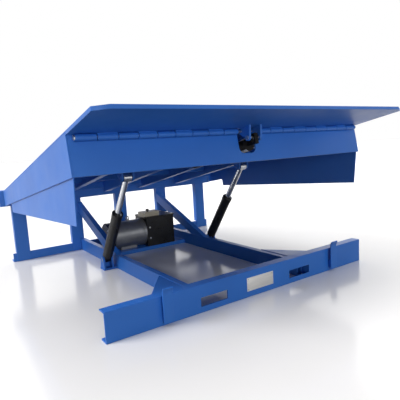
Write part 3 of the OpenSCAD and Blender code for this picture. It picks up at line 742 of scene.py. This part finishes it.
class LEVELER_OT_welds(bpy.types.Operator):
    """Lays weld beads along the joints of the frame, the deck and the lip"""

    bl_idname = "leveler.welds"
    bl_label = "Weld Beads"

    def side_lines(self, side, s):
        """Seams of one side's gusset, brace, tray, cylinder foot and lip keeper."""
        run_per_rise = 0.62  # length of the brace's foot on the rail to the brace's rise
        down_post, foot_height, keeper_height, keeper_inset = 0.07, 0.012, 0.07, 0.008
        rail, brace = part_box(f"base_rail_{side}"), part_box(f"brace_{side}")
        gusset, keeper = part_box(f"corner_gusset_{side}"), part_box(f"lip_keeper_{side}")
        tray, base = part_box("unit_tray"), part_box(f"cylinder_foot_{side}")
        inner, outer = (rail[1].x, rail[0].x) if s < 0 else (rail[0].x, rail[1].x)
        tip = gusset[1].x if s > 0 else gusset[0].x
        top, foot, head = rail[1].z, brace[0].y, brace[1]
        heel = foot + (head.z - top) * run_per_rise
        lines = [
            [(outer, gusset[0].y, top), (outer, gusset[1].y, top)],
            [(outer, gusset[0].y, top), (tip, gusset[0].y, top)]]
        lines += [[(x, foot, top), (x, heel, top)] for x in (inner, outer)]
        lines += [
            [(inner, foot, top), (outer, foot, top)],
            [(inner, head.y, head.z), (outer, head.y, head.z)]]
        lines += [[(x, head.y, head.z - down_post), (x, head.y, head.z)] for x in (inner, outer)]
        lines += [
            [(inner, tray[0].y, tray[1].z), (inner, tray[1].y, tray[1].z)],
            [(outer, base[0].y, foot_height), (outer, base[1].y, foot_height)],
            [(keeper[0].x + keeper_inset, BEAM[0].y, keeper_height),
             (keeper[1].x - keeper_inset, BEAM[0].y, keeper_height)]]
        return lines

    def frame_lines(self):
        lines = [line for side, s in SIDES for line in self.side_lines(side, s)]
        round_corner, above_floor, posts = 0.008, 0.004, 5
        under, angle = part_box("rear_top_beam")[0].z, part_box("rear_base_angle")
        for i in range(posts):
            low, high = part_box(f"rear_post_{i + 1}")
            lines.append([(low.x, low.y + round_corner, under), (low.x, low.y, under),
                          (high.x, low.y, under), (high.x, low.y + round_corner, under)])
            lines += [[(x, angle[0].y, above_floor), (x, angle[0].y, angle[1].z)] for x in (low.x, high.x)]
        return lines

    def deck_lines(self):
        """Stitches along the lower edge of each skirt's inner face, placed by shares of its length."""
        first, step, stitch, stitches, rear_depth = 0.125, 0.09, 0.035, 9, 0.118
        lines = []
        for side, s in SIDES:
            low, high = local_box(f"side_skirt_{side}")
            inner = high.x if s < 0 else low.x
            rear, length = PLATE[1].z - rear_depth, high.y - low.y
            for i in range(stitches):
                start = first + step * i
                lines.append([(inner, high.y - f * length, rear + f * (low.z - rear))
                              for f in (start, start + stitch)])
        return lines

    def lip_lines(self):
        """Both sides of each lug, along the lip's underside."""
        lug_faces, front_end, rear_end = (0.034, 0.046), 0.004, 0.02
        under, front = LIP[0].z, local_box("lip_lugs")[0].y
        return [[(s * x, front + front_end, under), (s * x, LIP[1].y - rear_end, under)]
                for x in lug_faces for _, s in SIDES]

    def execute(self, context):
        radius = context.scene.leveler_sizes.weld
        values = {"Radius": radius, "Step": 0.7 * radius, "Ripple": 0.35 * radius}
        for name, lines, body, place in (
                ("frame_welds", self.frame_lines(), "frame", None),
                ("deck_welds", self.deck_lines(), "deck", DECK),
                ("lip_welds", self.lip_lines(), "lip", DECK)):
            pattern(name, weld_beads, lines_mesh(name, lines), values, body, "blue_paint", place)
        return {"FINISHED"}


def sharp_rays(tree):
    """1 for what the camera sees straight, mirrored or through glass, 0 for light that falls on things."""
    path = add(tree, "ShaderNodeLightPath")
    sharp = add(tree, "ShaderNodeMath", {
        0: path.outputs["Is Camera Ray"], 1: path.outputs["Is Glossy Ray"]}, operation="MAXIMUM")
    return add(tree, "ShaderNodeMath", {
        0: sharp.outputs[0], 1: path.outputs["Is Transmission Ray"]}, operation="MAXIMUM").outputs[0]


class LEVELER_OT_stage(bpy.types.Operator):
    """Sets up the floor, the surroundings, the lights and the camera"""

    bl_idname = "leveler.stage"
    bl_label = "Studio"

    def floor(self):
        reach, drop = 60.0, 0.0005
        bm = bmesh.new()
        bm.faces.new([bm.verts.new((x * reach, y * reach, -drop))
                      for x, y in ((-1, -1), (1, -1), (1, 1), (-1, 1))])
        floor = new_object("studio_floor", mesh_of("studio_floor", bm))
        # Smooth sealed floor: white to the eye and in reflections, a dark grey to what it lights, so that
        # the pieces' undersides stay dark.
        material = surface(
            "Sealed studio floor", (linear("#F7F5F3"), linear("#FAF8F6")), tone_mm=800,
            film=(0.14, 0.18), film_mm=200, relief_mm=40, depth_mm=0.0)
        tree = material.node_tree
        shader = next(n for n in tree.nodes if n.bl_idname == "ShaderNodeBsdfPrincipled")
        pale = shader.inputs["Base Color"].links[0].from_socket
        lit = add(tree, "ShaderNodeMix", {
            MIX_SHARE: sharp_rays(tree), MIX_A: linear("#5C5C5C"), MIX_B: pale}, data_type="RGBA")
        tree.links.new(lit.outputs[MIX_RESULT], shader.inputs["Base Color"])
        floor.data.materials.append(material)

    def surroundings(self, studio):
        world = bpy.data.worlds.new("White studio")
        bpy.context.scene.world = world
        world.use_nodes = True
        tree = world.node_tree
        tree.nodes.clear()
        up = add(tree, "ShaderNodeSeparateXYZ", {0: add(tree, "ShaderNodeTexCoord").outputs["Generated"]})
        dome = add(tree, "ShaderNodeMath", {0: up.outputs["Z"], 1: DOME_POWER}, operation="POWER")
        rise = add(tree, "ShaderNodeMapRange", {
            "Value": dome.outputs[0], "To Min": studio.horizon, "To Max": studio.zenith}).outputs["Result"]
        light = add(tree, "ShaderNodeBackground", {"Color": WHITE, "Strength": rise})
        seen = add(tree, "ShaderNodeBackground", {"Color": WHITE, "Strength": 1.0})
        mix = add(tree, "ShaderNodeMixShader", {
            0: sharp_rays(tree), 1: light.outputs[0], 2: seen.outputs[0]})
        add(tree, "ShaderNodeOutputWorld", {"Surface": mix.outputs[0]})

    def lamp(self, name, place, strength, spread):
        data = bpy.data.lights.new(name, "SUN")
        data.energy, data.angle = strength, math.radians(spread)
        turn = Vector(place).to_track_quat("Z", "Y").to_matrix().to_4x4()
        new_object(name, data).matrix_world = Matrix.Translation(place) @ turn

    def camera(self, studio):
        data = bpy.data.cameras.new("photo_camera")
        data.sensor_width, data.lens = CAMERA_SENSOR, studio.lens
        data.shift_x, data.shift_y = CAMERA_SHIFT
        yaw, pitch, roll = studio.yaw, studio.pitch, studio.roll
        flat = math.cos(pitch)
        forward = Vector((math.sin(yaw) * flat, math.cos(yaw) * flat, -math.sin(pitch)))
        level = Vector((math.cos(yaw), -math.sin(yaw), 0))
        down = forward.cross(level)
        right = level * math.cos(roll) + down * math.sin(roll)
        below = down * math.cos(roll) - level * math.sin(roll)
        turn = Matrix((right, -below, -forward)).transposed().to_4x4()
        camera = new_object("photo_camera", data)
        camera.matrix_world = Matrix.Translation(studio.place) @ turn
        bpy.context.scene.camera = camera

    def execute(self, context):
        studio = context.scene.leveler_studio
        context.scene.view_settings.view_transform = "Standard"
        self.floor()
        self.surroundings(studio)
        for name, (place, spread) in LIGHTS.items():
            self.lamp(f"{name}_light", place, getattr(studio, name), spread)
        self.camera(studio)
        return {"FINISHED"}


class LEVELER_PT_panel(bpy.types.Panel):
    """Lists the dressing steps of the dock leveler"""

    bl_idname = "LEVELER_PT_panel"
    bl_label = "Dock Leveler"
    bl_space_type = "VIEW_3D"
    bl_region_type = "UI"
    bl_category = "Leveler"

    def draw(self, context):
        scene = context.scene
        for group in (scene.leveler_sizes, scene.leveler_finish, scene.leveler_studio):
            box = self.layout.box()
            for key in group.__annotations__:
                box.prop(group, key)
        for operator in STEPS:
            self.layout.operator(operator.bl_idname)


STEPS = (LEVELER_OT_paint, LEVELER_OT_label, LEVELER_OT_plates, LEVELER_OT_tread, LEVELER_OT_bolts,
         LEVELER_OT_cylinders, LEVELER_OT_welds, LEVELER_OT_stage)
CLASSES = (LevelerSizes, LevelerFinish, LevelerStudio, *STEPS, LEVELER_PT_panel)


def register():
    for cls in CLASSES:
        bpy.utils.register_class(cls)
    bpy.types.Scene.leveler_sizes = bpy.props.PointerProperty(type=LevelerSizes)
    bpy.types.Scene.leveler_finish = bpy.props.PointerProperty(type=LevelerFinish)
    bpy.types.Scene.leveler_studio = bpy.props.PointerProperty(type=LevelerStudio)


def unregister():
    del bpy.types.Scene.leveler_sizes
    del bpy.types.Scene.leveler_finish
    del bpy.types.Scene.leveler_studio
    for cls in reversed(CLASSES):
        bpy.utils.unregister_class(cls)


def main():
    register()
    bpy.ops.leveler.paint()
    bpy.ops.leveler.label()
    bpy.ops.leveler.plates()
    bpy.ops.leveler.tread()
    bpy.ops.leveler.bolts()
    bpy.ops.leveler.cylinders()
    bpy.ops.leveler.welds()
    bpy.ops.leveler.stage()


if __name__ == "__main__":
    main()
